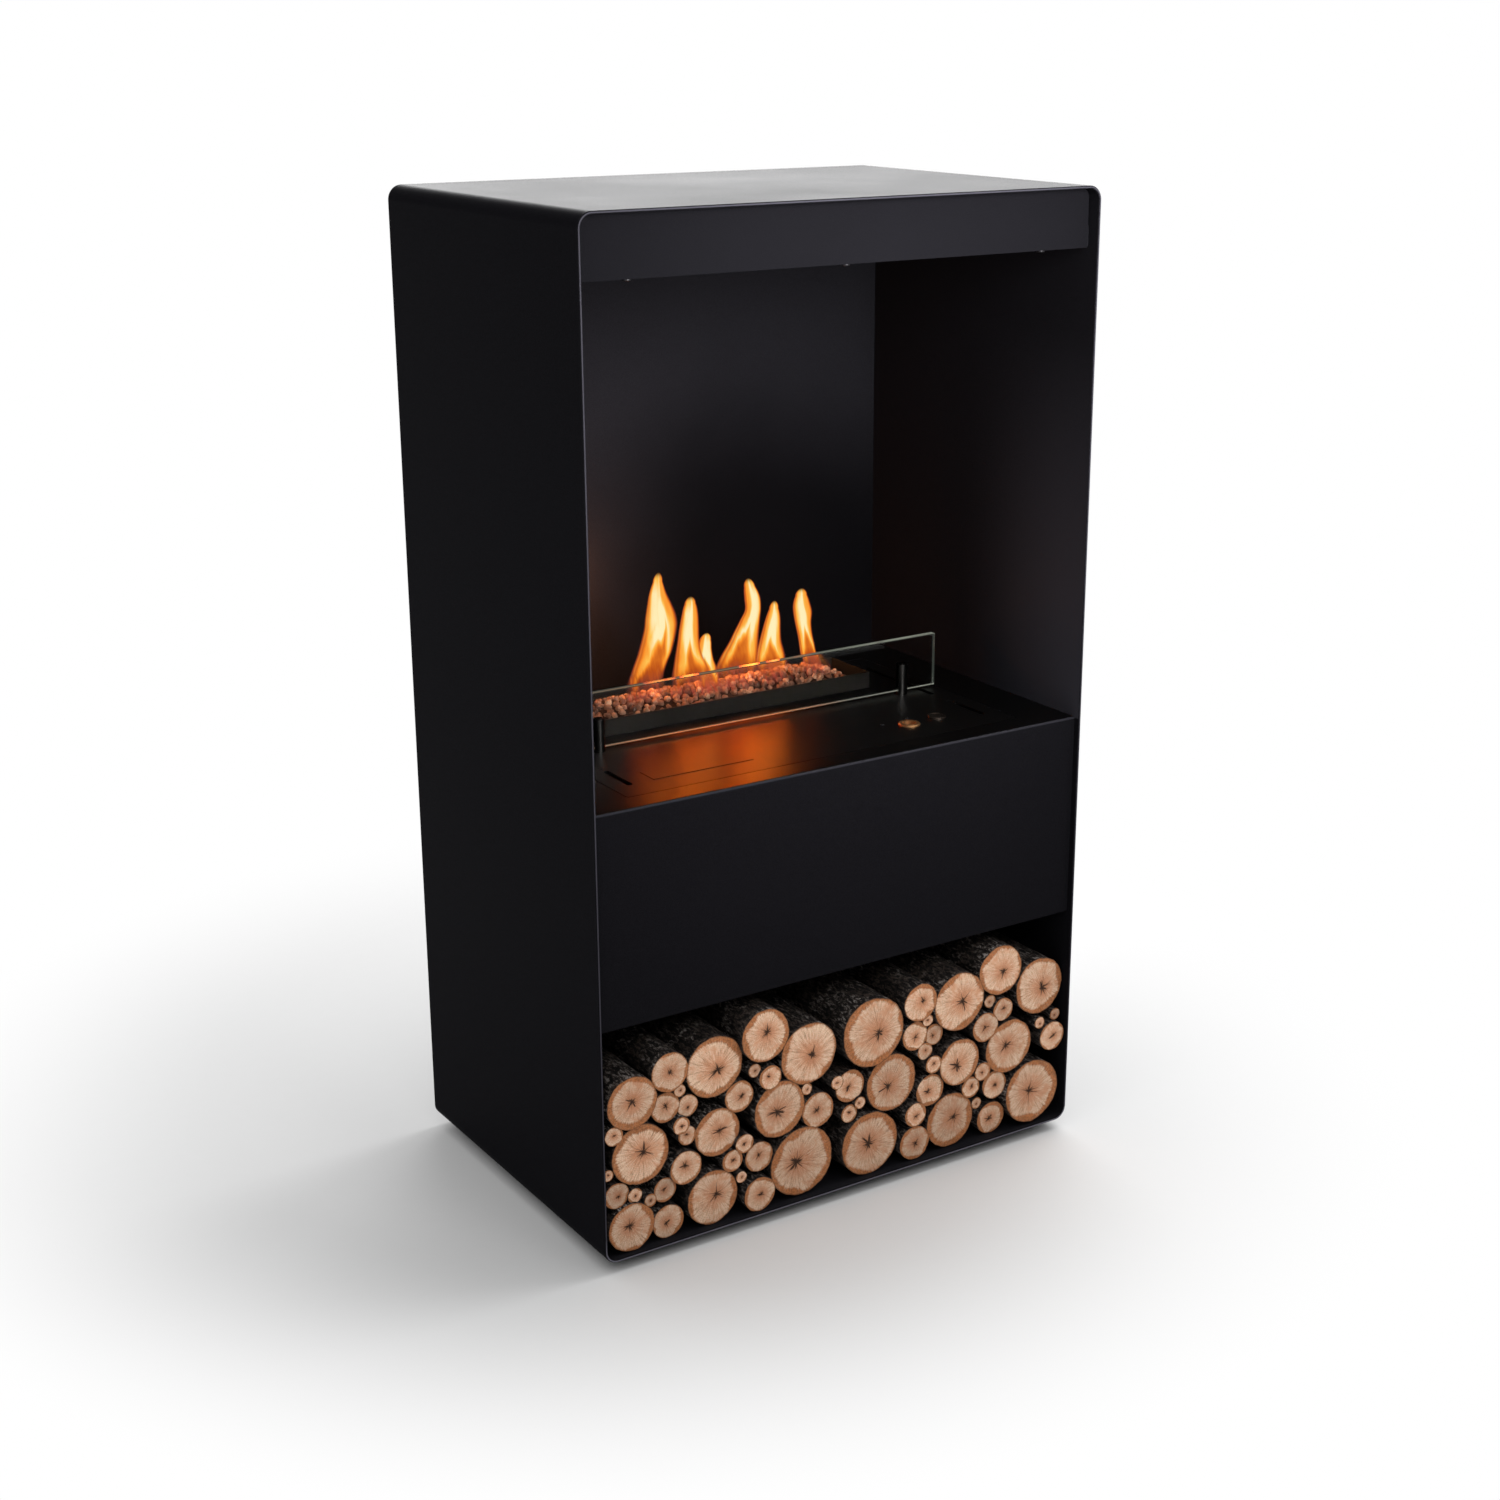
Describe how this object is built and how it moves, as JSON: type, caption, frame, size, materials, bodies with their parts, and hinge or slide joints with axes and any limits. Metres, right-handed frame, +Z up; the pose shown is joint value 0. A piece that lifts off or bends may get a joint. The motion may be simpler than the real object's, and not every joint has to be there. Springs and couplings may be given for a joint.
{
  "type": "bioethanol fireplace",
  "caption": "Tall free-standing black steel bioethanol fireplace with an open fire chamber, low glass screen, pebble tray burner, plain fascia and a niche packed with round firewood.",
  "frame": {"origin": "centre of the footprint, on the floor", "axes": "+X to the right seen from the front, -Y towards the front, +Z up"},
  "size_m": [0.6, 0.4, 1.05],
  "materials": {
    "powder_black": "matte",
    "chamber_black": "matte",
    "zinc_steel": "satin",
    "black_screws": "satin",
    "steel_screws": "satin",
    "rubber": "matte",
    "burner_black": "satin",
    "stainless": "satin",
    "ceramic": "matte",
    "pebbles": "matte",
    "copper": "polished",
    "valve_metal": "satin",
    "bezel_dark": "satin",
    "black_plastic": "matte",
    "lens": "gloss",
    "glass": "clear",
    "firewood": "matte"
  },
  "bodies": {
    "cabinet": {"outer_sleeve": "powder_black", "lintel_panel": "powder_black", "burner_shelf": "powder_black", "back_panel": "powder_black", "ceiling_plate": "chamber_black", "niche_ceiling": "chamber_black", "support_frame": "zinc_steel", "shelf_angle_left": "zinc_steel", "shelf_angle_right": "zinc_steel", "rear_bottom_angle": "zinc_steel", "back_panel_screws": "black_screws", "ceiling_screws": "black_screws", "foot_screws": "steel_screws", "rubber_feet": "rubber", "cable_grommet": "rubber", "logs_thick": "firewood", "logs_middle": "firewood", "logs_thin": "firewood", "sticks": "firewood"},
    "burner": {"burner_tub": "zinc_steel", "burner_lid": "burner_black", "lid_brackets": "zinc_steel", "lid_screws": "black_screws", "label_plate": "burner_black", "fire_tray": "burner_black", "combustion_trough": "stainless", "wick_strip": "ceramic", "igniter_rod": "ceramic", "flame_sensor": "stainless", "pebble_bed": "pebbles", "fuel_tank": "zinc_steel", "fill_pipe": "zinc_steel", "inlet_ring": "copper", "valve_guide": "stainless", "button_bezel": "bezel_dark", "button_switch": "black_plastic", "status_lens": "lens", "level_lens": "lens", "control_box": "black_plastic", "fuel_pump": "black_plastic", "fuel_line": "stainless", "power_socket": "black_plastic", "glass_post_left": "burner_black", "glass_post_right": "burner_black", "post_screws": "black_screws", "glass_pads": "rubber"},
    "glass": {"glass_screen": "glass"},
    "filler_valve": {"valve_poppet": "valve_metal"},
    "start_button": {"button_cap": "bezel_dark"}
  },
  "joints": [
    {"name": "burner_lift", "type": "slide", "parent": "cabinet", "child": "burner", "axis": [0, 0, 1], "range_m": [0, 0.3]},
    {"name": "glass_lift", "type": "slide", "parent": "burner", "child": "glass", "axis": [0, 0, 1], "range_m": [0, 0.1]},
    {"name": "filler_valve_press", "type": "slide", "parent": "burner", "child": "filler_valve", "axis": [0, 0, -1], "range_m": [0, 0.008], "stiffness_N_per_m": 500, "springref_m": -0.004},
    {"name": "start_button_press", "type": "slide", "parent": "burner", "child": "start_button", "axis": [0, 0, -1], "range_m": [0, 0.0015], "stiffness_N_per_m": 1500, "springref_m": -0.0005}
  ]
}
